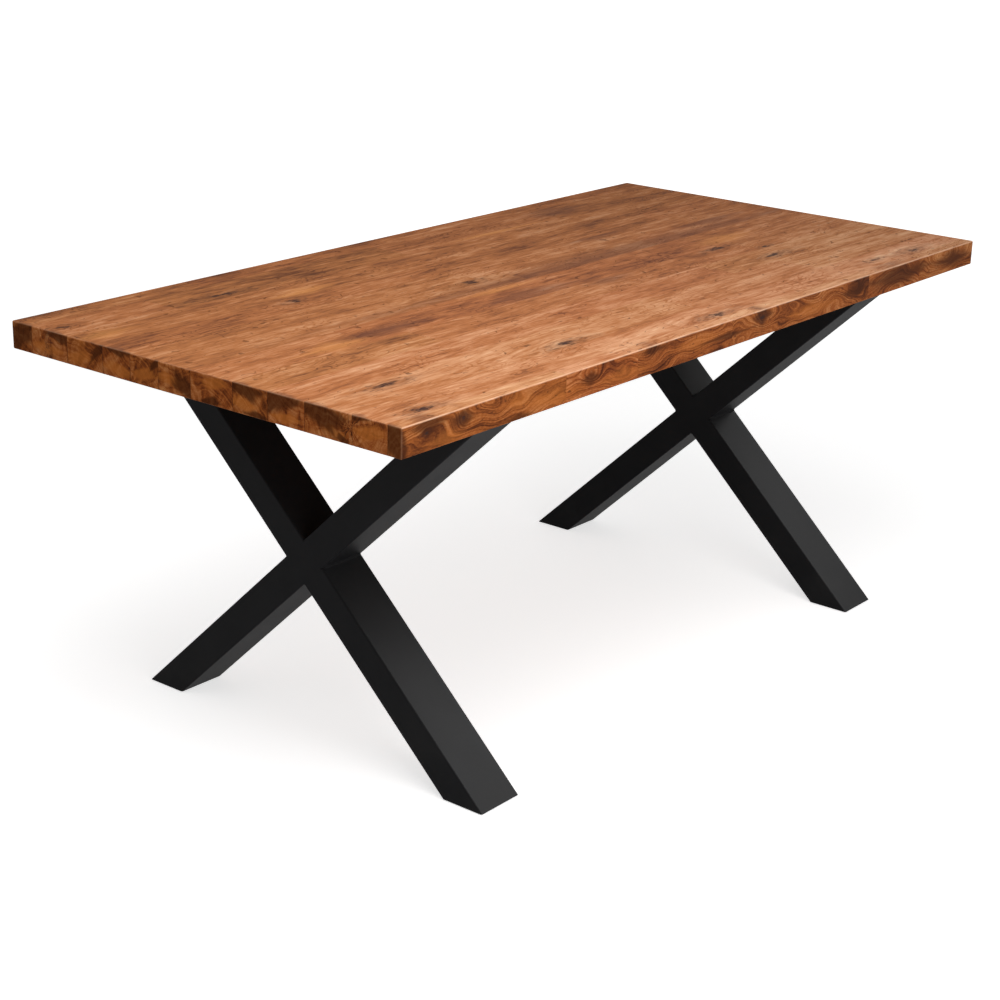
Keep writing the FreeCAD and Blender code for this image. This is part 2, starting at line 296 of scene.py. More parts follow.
class Sheet:
    """One node tree, written node by node. Each call gives back the socket that the next one reads."""

    def __init__(self, tree):
        self.tree = tree

    def node(self, kind, **settings):
        made = self.tree.nodes.new("ShaderNode" + kind)
        for name, value in settings.items():
            setattr(made, name, value)
        return made

    def feed(self, socket, value):
        """Links a socket to another one, or sets it to a plain value."""
        if isinstance(value, bpy.types.NodeSocket):
            self.tree.links.new(value, socket)
        else:
            socket.default_value = value

    def math(self, operation, *values):
        made = self.node("Math", operation=operation)
        for socket, value in zip(made.inputs, values):
            self.feed(socket, value)
        return made.outputs[0]

    def add(self, first, *others):
        total = first
        for value in others:
            total = self.math("ADD", total, value)
        return total

    def minus(self, first, second):
        return self.math("SUBTRACT", first, second)

    def times(self, first, second):
        return self.math("MULTIPLY", first, second)

    def larger(self, first, second):
        return self.math("MAXIMUM", first, second)

    def rest(self, share):
        """What a share leaves of 1."""
        return self.minus(1.0, share)

    def vector(self, operation, *values, give="Vector"):
        made = self.node("VectorMath", operation=operation)
        for socket, value in zip(made.inputs, values):
            self.feed(socket, value)
        return made.outputs[give]

    def scaled(self, vector, factor):
        made = self.node("VectorMath", operation="SCALE")
        self.feed(made.inputs["Vector"], vector)
        self.feed(made.inputs["Scale"], factor)
        return made.outputs["Vector"]

    def parts(self, vector):
        made = self.node("SeparateXYZ")
        self.feed(made.inputs[0], vector)
        return made.outputs

    def joined(self, along=0.0, across=0.0, up=0.0):
        made = self.node("CombineXYZ")
        for socket, value in zip(made.inputs, (along, across, up)):
            self.feed(socket, value)
        return made.outputs[0]

    def noise(self, place, stretch, detail=2.0, rough=0.5, give="Fac"):
        """Noise whose stretch says how often it changes in a metre along, across and up."""
        made = self.node("TexNoise")
        self.feed(made.inputs["Vector"], self.vector("MULTIPLY", place, stretch))
        made.inputs["Scale"].default_value = 1.0
        made.inputs["Detail"].default_value = detail
        made.inputs["Roughness"].default_value = rough
        return made.outputs[give]

    def swing(self, value, size):
        """A noise value about its middle, as a swing of up to half the size each way."""
        return self.times(self.minus(value, 0.5), size)

    def step(self, value, start, end):
        """0 before start, 1 after end, and smooth between."""
        made = self.node("MapRange", interpolation_type="SMOOTHSTEP")
        for name, given in (("Value", value), ("From Min", start), ("From Max", end)):
            self.feed(made.inputs[name], given)
        return made.outputs["Result"]

    def fade(self, value, start, end):
        """1 before start, 0 after end, and smooth between."""
        return self.rest(self.step(value, start, end))

    def blend(self, share, first, second):
        """Two colours, mixed by a share."""
        made = self.node("Mix", data_type="RGBA")
        colour_sockets = [socket for socket in made.inputs if socket.type == "RGBA"]
        self.feed(made.inputs[0], share)
        self.feed(colour_sockets[0], first)
        self.feed(colour_sockets[1], second)
        return [socket for socket in made.outputs if socket.type == "RGBA"][0]

    def between(self, share, none, full):
        """The value none where the share is 0, the value full where it is 1, and mixed between."""
        made = self.node("Mix", data_type="FLOAT")
        self.feed(made.inputs[0], share)
        self.feed(made.inputs[2], none)
        self.feed(made.inputs[3], full)
        return made.outputs[0]

    def ramp(self, value, tones):
        """A run of tones, picked by a value of 0 to 1."""
        made = self.node("ValToRGB")
        stops = made.color_ramp.elements
        stops.remove(stops[1])
        stops[0].position = tones[0][0]
        stops[0].color = paint(tones[0][1])
        for place, levels in tones[1:]:
            stops.new(place).color = paint(levels)
        self.feed(made.inputs[0], value)
        return made.outputs["Color"]

    def group(self, tree, **values):
        """Places a group. The values are named as its inputs are, with _ for a space."""
        made = self.node("Group", node_tree=tree)
        for name, value in values.items():
            self.feed(made.inputs[name.replace("_", " ")], value)
        return made.outputs


class GroupSheet(Sheet):
    """A node group with named inputs and outputs."""

    def __init__(self, name, inputs, outputs):
        super().__init__(bpy.data.node_groups.new(name, "ShaderNodeTree"))
        for direction, sockets in (("INPUT", inputs), ("OUTPUT", outputs)):
            for label, kind in sockets.items():
                self.tree.interface.new_socket(label, in_out=direction, socket_type="NodeSocket" + kind)
        self.given = self.tree.nodes.new("NodeGroupInput").outputs
        self.result = self.tree.nodes.new("NodeGroupOutput").inputs

    def give(self, **values):
        for name, value in values.items():
            self.feed(self.result[name.replace("_", " ")], value)
        return self.tree


finish_sockets = {"Colour": "Color", "Roughness": "Float", "Height": "Float"}


def make_long_grain():
    """Wood seen along the fibres: broad bands and mottling, wavy streaks, fine fibre, loops and flecks."""
    block_jump = (9.0, 2.3, 1.0)
    loop_count = 9.0
    loop_depth = 0.15
    short_fleck_share = 0.6
    g = GroupSheet("Long grain", {"Position": "Vector", "Shift": "Float"},
                   {"Shade": "Float", "Flecks": "Float", "Fibre": "Float"})
    place = g.given["Position"]
    sway = g.swing(g.noise(place, stretch=(2.2, 7.0, 7.0)), size=0.034)
    curl = g.swing(g.noise(place, stretch=(9.0, 27.0, 27.0)), size=0.015)
    flow = g.vector("ADD", place, g.joined(across=g.add(sway, curl)))
    bands = g.swing(g.noise(flow, stretch=(1.6, 15.0, 15.0)), size=0.42)
    mottle = g.swing(g.noise(place, stretch=(8.0, 24.0, 24.0), detail=3.0), size=0.41)
    smears = g.swing(g.noise(flow, stretch=(6.0, 58.0, 58.0), rough=0.55), size=0.38)
    block = g.vector("ADD", flow, g.scaled(block_jump, g.given["Shift"]))
    streaks = g.swing(g.noise(block, stretch=(15.0, 140.0, 140.0), detail=3.0, rough=0.62), size=0.58)
    fibre = g.noise(block, stretch=(40.0, 420.0, 420.0))
    shade = g.add(bands, mottle, smears, streaks, g.swing(fibre, size=0.36))
    eddy = g.noise(flow, stretch=(15.0, 44.0, 44.0), detail=1.0)
    loop_gap = g.math("ABSOLUTE", g.minus(g.math("FRACT", g.times(eddy, loop_count)), 0.5))
    loops = g.fade(loop_gap, start=0.02, end=0.22)
    figured = g.step(g.noise(place, stretch=(5.0, 15.0, 15.0)), start=0.50, end=0.66)
    shade = g.minus(shade, g.times(g.times(loops, figured), loop_depth))
    twist = g.swing(g.noise(block, stretch=(46.0, 70.0, 70.0), detail=1.0), size=0.030)
    curled = g.vector("ADD", block, g.joined(across=twist))
    long_flecks = g.step(g.noise(curled, stretch=(44.0, 150.0, 150.0), detail=1.0), start=0.67, end=0.76)
    short_flecks = g.step(g.noise(curled, stretch=(110.0, 360.0, 360.0), detail=0.0), start=0.72, end=0.84)
    flecks = g.larger(long_flecks, g.times(short_flecks, short_fleck_share))
    return g.give(Shade=shade, Flecks=flecks, Fibre=fibre)


def make_end_grain():
    """Wood cut across the fibres: rings, rays and broad wedges about the heart of the stem, and cracks."""
    ring_waver = 0.024
    block_jump = 31.0
    wedge_turn = 16.0
    across_grain = (0.0, 1.0, 1.0)
    g = GroupSheet("End grain", {"Position": "Vector", "Heart": "Vector", "Shift": "Float"},
                   {"Shade": "Float", "Checks": "Float"})
    place = g.given["Position"]
    drift = g.noise(place, stretch=(0.0, 34.0, 34.0), give="Color")
    waver = g.scaled(g.vector("SUBTRACT", drift, (0.5, 0.5, 0.5)), ring_waver)
    offset = g.vector("ADD", g.vector("SUBTRACT", place, g.given["Heart"]), waver)
    offset = g.vector("MULTIPLY", offset, across_grain)
    radius = g.vector("LENGTH", offset, give="Value")
    ray = g.parts(g.vector("NORMALIZE", offset))
    block = g.times(g.given["Shift"], block_jump)
    turned = g.joined(g.add(block, g.times(radius, wedge_turn)), ray[1], ray[2])
    wedges = g.step(g.noise(turned, stretch=(1.0, 4.0, 4.0)), start=0.42, end=0.58)
    on_ring = g.joined(radius, ray[1], ray[2])
    rings = g.noise(on_ring, stretch=(230.0, 1.3, 1.3))
    rays = g.noise(on_ring, stretch=(20.0, 13.0, 13.0), detail=3.0)
    speckle = g.noise(place, stretch=(200.0, 420.0, 420.0))
    shade = g.add(g.swing(wedges, size=0.24), g.swing(rings, size=0.80),
                  g.swing(rays, size=0.46), g.swing(speckle, size=0.34))
    on_ray = g.joined(block, ray[1], ray[2])
    crack_line = g.step(g.noise(on_ray, stretch=(1.0, 4.6, 4.6), detail=0.0), start=0.66, end=0.71)
    near_heart = g.fade(radius, start=0.006, end=0.034)
    return g.give(Shade=shade, Checks=g.times(crack_line, near_heart))


def make_side_figure():
    """Curly figure on the long sides: growth lines that go round buried knots."""
    block_jump = (13.0, 0.0, 3.0)
    line_pull = 0.8
    late_wood_depth = 0.13
    g = GroupSheet("Side figure", {"Position": "Vector", "Swell": "Float", "Shift": "Float"},
                   {"Shade": "Float"})
    block = g.vector("ADD", g.given["Position"], g.scaled(block_jump, g.given["Shift"]))
    place = g.parts(block)
    wander = g.swing(g.noise(block, stretch=(9.0, 9.0, 19.0), detail=1.0), size=0.11)
    level = g.add(place[2], g.add(wander, g.given["Swell"]))
    turned = g.joined(along=place[0], up=level)
    lines = g.swing(g.noise(turned, stretch=(10.0, 0.0, 240.0), rough=0.6), size=0.90)
    smears = g.swing(g.noise(turned, stretch=(7.0, 0.0, 62.0)), size=0.95)
    growth = g.math("FRACT", g.add(g.times(level, 1 / growth_spacing), g.times(lines, line_pull)))
    late_wood = g.times(g.step(growth, start=0.35, end=0.92), g.fade(growth, start=0.93, end=1.0))
    patches = g.swing(g.noise(block, stretch=(5.0, 5.0, 16.0)), size=0.64)
    speckle = g.swing(g.noise(block, stretch=(160.0, 160.0, 420.0)), size=0.42)
    shade = g.add(lines, smears, patches, speckle)
    return g.give(Shade=g.minus(shade, g.times(late_wood, late_wood_depth)))


def make_knot():
    """One knot: the grain parts round it, its heart and rim are dark and a smear trails along the grain."""
    rim_reach = 1.35
    trail_shape = (0.40, 0.75, 0.75)
    parting_fall = 0.22
    parting_push = (0.0, -0.9, -0.9)
    g = GroupSheet("Knot", {"Position": "Vector", "Centre": "Vector", "Half size": "Vector", "Dark": "Float"},
                   {"Position": "Vector", "Dark": "Float"})
    place = g.given["Position"]
    offset = g.vector("SUBTRACT", place, g.given["Centre"])
    shares = g.vector("DIVIDE", offset, g.given["Half size"])
    reach = g.vector("LENGTH", shares, give="Value")
    torn = g.swing(g.noise(place, stretch=(34.0, 130.0, 130.0), detail=3.0), size=1.9)
    ragged = g.add(reach, torn)
    splits = g.step(g.noise(place, stretch=(60.0, 300.0, 300.0)), start=0.38, end=0.62)
    heart = g.fade(ragged, start=0.15, end=0.95)
    rim = g.fade(g.math("ABSOLUTE", g.minus(ragged, rim_reach)), start=0.02, end=0.30)
    trail = g.vector("LENGTH", g.vector("MULTIPLY", shares, trail_shape), give="Value")
    smear = g.fade(g.add(trail, torn), start=0.0, end=1.5)
    dark = g.add(g.times(heart, g.between(splits, none=0.50, full=1.0)),
                 g.times(rim, g.between(splits, none=0.0, full=0.34)),
                 g.times(smear, g.between(splits, none=0.20, full=0.42)))
    parting = g.math("DIVIDE", 1.0, g.add(1.0, g.times(g.times(reach, reach), parting_fall)))
    push = g.vector("MULTIPLY", g.scaled(offset, parting), parting_push)
    return g.give(Position=g.vector("ADD", place, push), Dark=g.larger(g.given["Dark"], dark))


def make_band():
    """One soft band or patch of darker or paler wood, ragged along the grain and pointed at its ends."""
    g = GroupSheet("Band", {"Position": "Vector", "Centre": "Vector", "Half size": "Vector",
                            "Stretch": "Vector", "Softness": "Float", "Ragged": "Float",
                            "Lean": "Float", "Band": "Float"},
                   {"Band": "Float"})
    offset = g.vector("SUBTRACT", g.given["Position"], g.given["Centre"])
    sideways = g.joined(across=g.times(g.parts(offset)[2], g.given["Lean"]))
    leaning = g.vector("ADD", offset, sideways)
    shares = g.parts(g.vector("ABSOLUTE", g.vector("DIVIDE", leaning, g.given["Half size"])))
    edge_place = g.vector("ADD", g.given["Position"], sideways)
    edge_noise = g.noise(edge_place, g.given["Stretch"], detail=5.0, rough=0.62)
    reach = g.add(shares[0], shares[1], shares[2], g.swing(edge_noise, g.given["Ragged"]))
    start = g.rest(g.given["Softness"])
    end = g.add(1.0, g.given["Softness"])
    return g.give(Band=g.larger(g.given["Band"], g.fade(reach, start, end)))


def make_buried_knot():
    """One knot under the surface: it lifts the level that the growth lines follow."""
    g = GroupSheet("Buried knot", {"Position": "Vector", "Centre": "Vector", "Half size": "Vector",
                                   "Swell": "Float"},
                   {"Swell": "Float"})
    offset = g.vector("SUBTRACT", g.given["Position"], g.given["Centre"])
    reach = g.vector("LENGTH", g.vector("DIVIDE", offset, g.given["Half size"]), give="Value")
    lift = g.math("EXPONENT", g.times(g.times(reach, reach), -1.0))
    return g.give(Swell=g.add(g.given["Swell"], g.times(lift, buried_knot_lift)))


def make_block_joint():
    """One glued end joint along a stave: counts the blocks so far and marks the glue line."""
    g = GroupSheet("Block joint", {"Along": "Float", "Place": "Float", "Number": "Float", "Line": "Float"},
                   {"Number": "Float", "Line": "Float"})
    beyond = g.math("GREATER_THAN", g.given["Along"], g.given["Place"])
    distance = g.math("ABSOLUTE", g.minus(g.given["Along"], g.given["Place"]))
    line = g.fade(distance, start=joint_core, end=joint_half_width)
    return g.give(Number=g.add(g.given["Number"], beyond), Line=g.larger(g.given["Line"], line))


def make_arris_highlight():
    """A painted highlight on the rounded upper edges and corners of the top, paler along the long sides and
    made patchy.
    """
    end_highlight = 0.22
    corner_highlight = 0.15
    g = GroupSheet("Arris", {"Position": "Vector"}, {"Wear": "Float"})
    middle = (top_low + top_high) / 2
    flat_half = (top_high - top_low) / 2 - Vector((edge_round,) * 3)
    offset = g.vector("SUBTRACT", g.given["Position"], tuple(middle))
    aside = g.parts(g.vector("SUBTRACT", g.vector("ABSOLUTE", offset), tuple(flat_half)))
    above = g.minus(g.parts(offset)[2], flat_half.z)
    along = g.step(aside[0], start=0.0, end=edge_round)
    across = g.step(aside[1], start=0.0, end=edge_round)
    up = g.step(above, start=0.0, end=edge_round)
    edges = g.larger(g.times(across, up), g.times(g.times(along, up), end_highlight))
    edges = g.larger(edges, g.times(g.times(along, across), corner_highlight))
    cloud = g.noise(g.given["Position"], stretch=(26.0, 26.0, 60.0), detail=3.0)
    patchy = g.step(cloud, start=0.25, end=0.65)
    return g.give(Wear=g.times(edges, g.between(patchy, none=0.55, full=1.2)))


def make_timber(long_grain, end_grain, side_figure, arris):
    """Oiled wood on every face of a stave: colour, roughness and height, with painted light on the top and a
    painted highlight on its upper edges.
    """
    oiled_roughness = 0.72
    fleck_roughness = 0.15
    fibre_height = 0.4
    crack_depth = 1.5
    knot_depth = 0.6
    g = GroupSheet(
        "Oiled timber",
        {"Position": "Vector", "Bent": "Vector", "Normal": "Vector", "Heart": "Vector", "Swell": "Float",
         "Tone": "Float", "Top tone": "Float", "Warmth": "Float", "Shift": "Float", "Knot": "Float",
         "Dark": "Float", "Golden": "Float", "Line": "Float", "Seam": "Float"},
        finish_sockets)
    place, bent, shift = g.given["Position"], g.given["Bent"], g.given["Shift"]
    facing = g.parts(g.vector("ABSOLUTE", g.given["Normal"]))
    on_end = g.step(facing[0], start=0.55, end=0.85)
    on_side = g.step(facing[1], start=0.55, end=0.85)
    grain = g.group(long_grain, Position=bent, Shift=shift)
    cut = g.group(end_grain, Position=place, Heart=g.given["Heart"], Shift=shift)
    figure = g.group(side_figure, Position=bent, Swell=g.given["Swell"], Shift=shift)
    # Painted light: the top of each stave is made paler towards the front of the table
    shade = g.between(on_side, g.add(grain["Shade"], g.given["Top tone"]), figure["Shade"])
    shade = g.add(g.between(on_end, shade, cut["Shade"]), g.given["Tone"])
    colour = g.blend(g.given["Warmth"], g.ramp(shade, brown_wood), g.ramp(shade, red_wood))
    golden_share = g.between(on_side, g.between(on_end, golden_on_top, golden_on_end), golden_on_side)
    colour = g.blend(g.times(g.given["Golden"], golden_share), colour, paint(golden_wood))
    banded = g.blend(g.times(g.given["Dark"], band_strength), colour, paint(banded_wood))
    patched = g.blend(g.times(g.given["Dark"], patch_strength), colour, paint(patched_wood))
    colour = g.blend(g.larger(on_end, on_side), banded, patched)
    colour = g.blend(on_side, colour, g.vector("MULTIPLY", colour, side_stain))
    colour = g.blend(on_end, colour, g.vector("MULTIPLY", colour, end_stain))
    colour = g.blend(g.given["Knot"], colour, paint(knot_brown))
    flecks = g.times(grain["Flecks"], g.times(g.rest(on_end), fleck_strength))
    colour = g.blend(flecks, colour, paint(fleck_brown))
    seams = g.times(g.given["Seam"], g.between(on_end, seam_on_top, seam_on_end))
    cracks = g.larger(g.times(cut["Checks"], on_end), g.times(g.given["Line"], joint_strength))
    cracks = g.larger(cracks, seams)
    colour = g.blend(cracks, colour, paint(crack_brown))
    # Painted highlight: the upper edges are mixed towards a pale colour
    edge_highlight = g.group(arris, Position=place)["Wear"]
    colour = g.blend(edge_highlight, colour, paint(painted_highlight_wood))
    roughness = g.add(oiled_roughness, g.swing(grain["Fibre"], size=0.24), g.times(flecks, fleck_roughness))
    height = g.minus(g.times(grain["Fibre"], fibre_height), flecks)
    height = g.minus(height, g.times(cracks, crack_depth))
    height = g.minus(height, g.times(g.given["Knot"], knot_depth))
    return g.give(Colour=colour, Roughness=roughness, Height=height)


def make_powder():
    """Powder coat: a fine orange peel with a slight change of tone and gloss, and dust near the floor."""
    coat_roughness = 0.54
    dust_height = 0.16
    dust_strength = 0.30
    speck_strength = 0.12
    g = GroupSheet("Powder coat", {"Position": "Vector"}, finish_sockets)
    place = g.given["Position"]
    peel = g.noise(place, stretch=(850.0, 850.0, 850.0))
    cloud = g.noise(place, stretch=(14.0, 14.0, 14.0), detail=3.0)
    specks = g.step(g.noise(place, stretch=(1500.0, 1500.0, 1500.0), detail=0.0), start=0.70, end=0.80)
    low = g.fade(g.parts(place)[2], start=0.0, end=dust_height)
    dust = g.times(low, g.step(cloud, start=0.40, end=0.75))
    colour = g.ramp(cloud, coat_tones)
    colour = g.blend(g.times(dust, dust_strength), colour, paint(dusty_coat))
    colour = g.blend(g.times(specks, speck_strength), colour, paint(coat_speck))
    roughness = g.add(coat_roughness, g.swing(cloud, size=0.10), g.swing(peel, size=0.10))
    return g.give(Colour=colour, Roughness=roughness, Height=peel)


def make_plating():
    """Zinc plate: mottled crystals, faint drawing marks and duller patches."""
    zinc_roughness = 0.30
    g = GroupSheet("Zinc plate", {"Position": "Vector", "Bright": "Color", "Dull": "Color"}, finish_sockets)
    mottle = g.noise(g.given["Position"], stretch=(330.0, 330.0, 330.0), detail=3.0)
    marks = g.noise(g.given["Position"], stretch=(900.0, 900.0, 60.0), detail=1.0)
    colour = g.blend(g.step(mottle, start=0.3, end=0.7), g.given["Bright"], g.given["Dull"])
    roughness = g.add(zinc_roughness, g.swing(mottle, size=0.22), g.swing(marks, size=0.12))
    return g.give(Colour=colour, Roughness=roughness, Height=marks)


def make_moulded():
    """Moulded nylon: a fine spark-eroded grain, scuffed a little paler where it meets the floor."""
    nylon_roughness = 0.52
    scuff_height = 0.003
    scuff_strength = 0.6
    g = GroupSheet("Moulded nylon", {"Position": "Vector"}, finish_sockets)
    place = g.given["Position"]
    grain = g.noise(place, stretch=(1400.0, 1400.0, 1400.0))
    scuff = g.noise(place, stretch=(240.0, 900.0, 240.0))
    low = g.fade(g.parts(place)[2], start=0.0, end=scuff_height)
    worn = g.times(low, g.step(scuff, start=0.45, end=0.7))
    colour = g.blend(g.times(worn, scuff_strength), paint(nylon_black), paint(scuffed_nylon))
    return g.give(Colour=colour, Roughness=g.add(nylon_roughness, g.swing(grain, size=0.2)), Height=grain)


def new_material(name):
    """An empty material with a Principled shader that is wired to its output."""
    material = bpy.data.materials.new(name)
    material.use_nodes = True
    material.node_tree.nodes.clear()
    sheet = Sheet(material.node_tree)
    shader = sheet.node("BsdfPrincipled")
    output = sheet.node("OutputMaterial")
    sheet.feed(output.inputs["Surface"], shader.outputs["BSDF"])
    return material, sheet, shader


def wire_finish(sheet, shader, finish, bump_depth, bump_share):
    """Takes a finish group's colour, roughness and height to the shader."""
    sheet.feed(shader.inputs["Base Color"], finish["Colour"])
    sheet.feed(shader.inputs["Roughness"], finish["Roughness"])
    bump = sheet.node("Bump")
    bump.inputs["Distance"].default_value = bump_depth
    bump.inputs["Strength"].default_value = bump_share
    sheet.feed(bump.inputs["Height"], finish["Height"])
    sheet.feed(shader.inputs["Normal"], bump.outputs["Normal"])


def joints_along(node):
    """Where the blocks of a stave meet, from left to right, without the two outer ends."""
    least_area = 2e-4
    square_on = 0.999
    places = {round(face.center.x, 4) for face in node.data.polygons
              if abs(face.normal.x) > square_on and face.area > least_area}
    return sorted(places)[1:-1]


def marks_on(name, *tables):
    """The centre and half sizes of every mark on one stave."""
    return [(centre, half_size) for table in tables for stave, centre, half_size in table if stave == name]


def make_stave_material(name, number, groups):
    """Oiled wood for one stave, with its own blocks, knots, bands and patches."""
    numbers_apart = 17
    middle_tone = 0.5
    oil_index = 1.45
    oil_gloss = 0.03
    material, sheet, shader = new_material("oiled_wood_" + name)
    given = sheet.node("TexCoord")
    position = given.outputs["Object"]
    along, across, _ = sheet.parts(position)

    block_number, line = float(number * numbers_apart), 0.0
    for place in joints_along(nodes[name]):
        joint = sheet.group(groups["joint"], Along=along, Place=place, Number=block_number, Line=line)
        block_number, line = joint["Number"], joint["Line"]
    draw = sheet.node("TexWhiteNoise", noise_dimensions="1D")
    sheet.feed(draw.inputs["W"], block_number)
    draws = sheet.node("SeparateColor")
    sheet.feed(draws.inputs[0], draw.outputs["Color"])
    tone = sheet.add(sheet.swing(draws.outputs["Red"], size=0.07), middle_tone)

    bent, knot_dark = position, 0.0
    for centre, half_size in marks_on(name, top_knots, side_knots):
        knot = sheet.group(groups["knot"], Position=bent, Centre=centre, Half_size=half_size, Dark=knot_dark)
        bent, knot_dark = knot["Position"], knot["Dark"]
    swell = 0.0
    for centre, half_size in marks_on(name, buried_knots):
        swell = sheet.group(groups["buried_knot"], Position=position, Centre=centre, Half_size=half_size,
                            Swell=swell)["Swell"]

    shades = {"Dark": 0.0, "Golden": 0.0}
    end_lean = wedge_lean * (-1) ** number
    for shade, edges, lean, marks in (
            ("Dark", top_edges, 0.0, dark_bands),
            ("Golden", top_edges, 0.0, golden_bands),
            ("Dark", side_edges, 0.0, side_dark_patches_and_shade),
            ("Golden", side_edges, 0.0, side_golden_patches),
            ("Dark", end_edges, end_lean, end_dark_patches),
            ("Golden", end_edges, end_lean, end_golden_patches)):
        for centre, half_size in marks_on(name, marks):
            shades[shade] = sheet.group(groups["band"], Position=position, Centre=centre, Half_size=half_size,
                                        Lean=lean, Band=shades[shade], **edges)["Band"]

    low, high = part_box(name)
    inside = sheet.math("MINIMUM", sheet.minus(across, low.y), sheet.minus(high.y, across))
    seam = sheet.fade(inside, start=0.0, end=seam_width)
    # Each stave's top gets its painted light here, paler towards the front
    finish = sheet.group(
        groups["timber"], Position=position, Bent=bent, Normal=given.outputs["Normal"],
        Heart=(left, *hearts[name]), Swell=swell, Tone=tone, Top_tone=painted_light_by_stave[number],
        Warmth=draws.outputs["Green"], Shift=draws.outputs["Blue"], Knot=knot_dark, Line=line, Seam=seam,
        **shades)
    wire_finish(sheet, shader, finish, bump_depth=0.0008, bump_share=0.35)
    shader.inputs["IOR"].default_value = oil_index
    shader.inputs["Specular IOR Level"].default_value = oil_gloss
    return material


def make_plain_material(name, group, bump_depth, bump_share, metallic=0.0, specular=0.5, index=1.45,
                        **colours):
    """A material of one finish group, laid on by the object's own coordinates."""
    material, sheet, shader = new_material(name)
    position = sheet.node("TexCoord").outputs["Object"]
    finish = sheet.group(group, Position=position, **colours)
    wire_finish(sheet, shader, finish, bump_depth, bump_share)
    shader.inputs["IOR"].default_value = index
    shader.inputs["Metallic"].default_value = metallic
    shader.inputs["Specular IOR Level"].default_value = specular
    return material


def make_finishes():
    """Materials for the steel and nylon, by the record's slots."""
    plating = make_plating()
    return {
        "black_powder_coat": make_plain_material(
            "black_powder_coat", make_powder(), bump_depth=0.00015, bump_share=0.25, index=1.11),
        "zinc_steel": make_plain_material(
            "zinc_steel", plating, bump_depth=0.0001, bump_share=0.2, metallic=1.0,
            Bright=paint(bright_zinc), Dull=paint(dull_zinc)),
        "zinc_insert": make_plain_material(
            "zinc_insert", plating, bump_depth=0.0001, bump_share=0.2, metallic=1.0,
            Bright=paint(bright_yellow_zinc), Dull=paint(dull_yellow_zinc)),
        "black_nylon": make_plain_material(
            "black_nylon", make_moulded(), bump_depth=0.0001, bump_share=0.3, specular=0.35),
    }


def dress(name, material):
    """Gives a CAD node its material."""
    for slot in nodes[name].material_slots:
        slot.material = material


def dress_table(finishes):
    """Wood of its own for each stave, and for every other node the finish of its slot in the record."""
    groups = {"joint": make_block_joint(), "knot": make_knot(), "band": make_band(),
              "buried_knot": make_buried_knot()}
    groups["timber"] = make_timber(make_long_grain(), make_end_grain(), make_side_figure(), make_arris_highlight())
    for number, name in enumerate(stave_names):
        dress(name, make_stave_material(name, number, groups))
    for subpart in frame["record"]["subparts"]:
        if subpart["material_slot"] in finishes:
            dress(subpart["node"], finishes[subpart["material_slot"]])


def loft(rings, first_corner):
    """Faces of a closed solid through rings of equal count, capped by fans at both ends."""
    count = len(rings[0])
    faces = []
    for number in range(len(rings) - 1):
        base = first_corner + number * count
        for side in range(count):
            beside = (side + 1) % count
            faces.append((base + side, base + beside, base + count + beside, base + count + side))
    last = first_corner + (len(rings) - 1) * count
    for side in range(1, count - 1):
        faces.append((first_corner, first_corner + side + 1, first_corner + side))
        faces.append((last, last + side, last + side + 1))
    return faces


def add_piece(name, solids, body, slot, finishes, replaced=()):
    """A piece of closed solids, each given as rings. It rides on a body and is smooth but for sharp edges."""
    corners, faces = [], []
    for rings in solids:
        faces += loft(rings, len(corners))
        corners += [corner for ring in rings for corner in ring]
    mesh = bpy.data.meshes.new(name)
    mesh.from_pydata(corners, [], faces)
    mesh.materials.append(finishes[slot])
    mesh.polygons.foreach_set("use_smooth", [True] * len(mesh.polygons))
    mesh.set_sharp_from_angle(angle=sharp_angle)
    piece = bpy.data.objects.new(name, mesh)
    bpy.context.collection.objects.link(piece)
    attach(piece, body)
    for node in replaced:
        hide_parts(node)


def crossing_of(frame_name):
    """The middle of a frame's crossing, the directions of its long and half tubes, how far along them the
    corners of the crossing lie, and half the tubes' depth."""
    side_on = 0.01
    level = 0.9
    tube = nodes[frame_name + "_long_tube"]
    low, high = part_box(tube.name)
    middle = Vector(((low.x + high.x) / 2, 0.0, top_low.z / 2))
    leaning = [face for face in tube.data.polygons
               if abs(face.normal.x) < side_on and abs(face.normal.z) < level]
    side = max(leaning, key=lambda face: face.area)
    long_way = side.normal.cross(Vector((1.0, 0.0, 0.0)))
    if long_way.z < 0:
        long_way.negate()
    half_way = Vector((0.0, -long_way.y, long_way.z))
    half_width = abs((side.center - middle).dot(side.normal))
    spread = half_width / abs(long_way.cross(half_way).x)
    return middle, long_way, half_way, spread, (high.x - low.x) / 2


def make_ground_welds(frame_name, finishes):
    """Weld ground flush where the half tubes meet the long tube's rounded edges, on both faces."""
    middle, long_way, half_way, spread, half_depth = crossing_of(frame_name)
    outward = long_way.cross(Vector((1.0, 0.0, 0.0)))
    if outward.dot(half_way) < 0:
        outward.negate()
    solids = []
    for half_sign in (-1, 1):
        for depth_sign in (-1, 1):
            rings = []
            for long_sign in (-1, 1):
                seam_end = long_way * long_sign * (spread - tube_corner_round)
                seam = middle + half_way * half_sign * spread + seam_end
                face_edge = seam + Vector((depth_sign * half_depth, 0.0, 0.0))
                ring = [face_edge]
                for step in range(ground_weld_steps + 1):
                    turn = math.pi / 2 * step / ground_weld_steps
                    inward = Vector((-depth_sign * tube_corner_round * (1 - math.cos(turn)), 0.0, 0.0))
                    drop = outward * -half_sign * tube_corner_round * (1 - math.sin(turn))
                    ring.append(face_edge + inward + drop)
                rings.append(ring)
            if half_sign * depth_sign > 0:
                rings.reverse()
            solids.append(rings)
    add_piece(frame_name + "_ground_welds", solids, "table", "black_powder_coat", finishes)


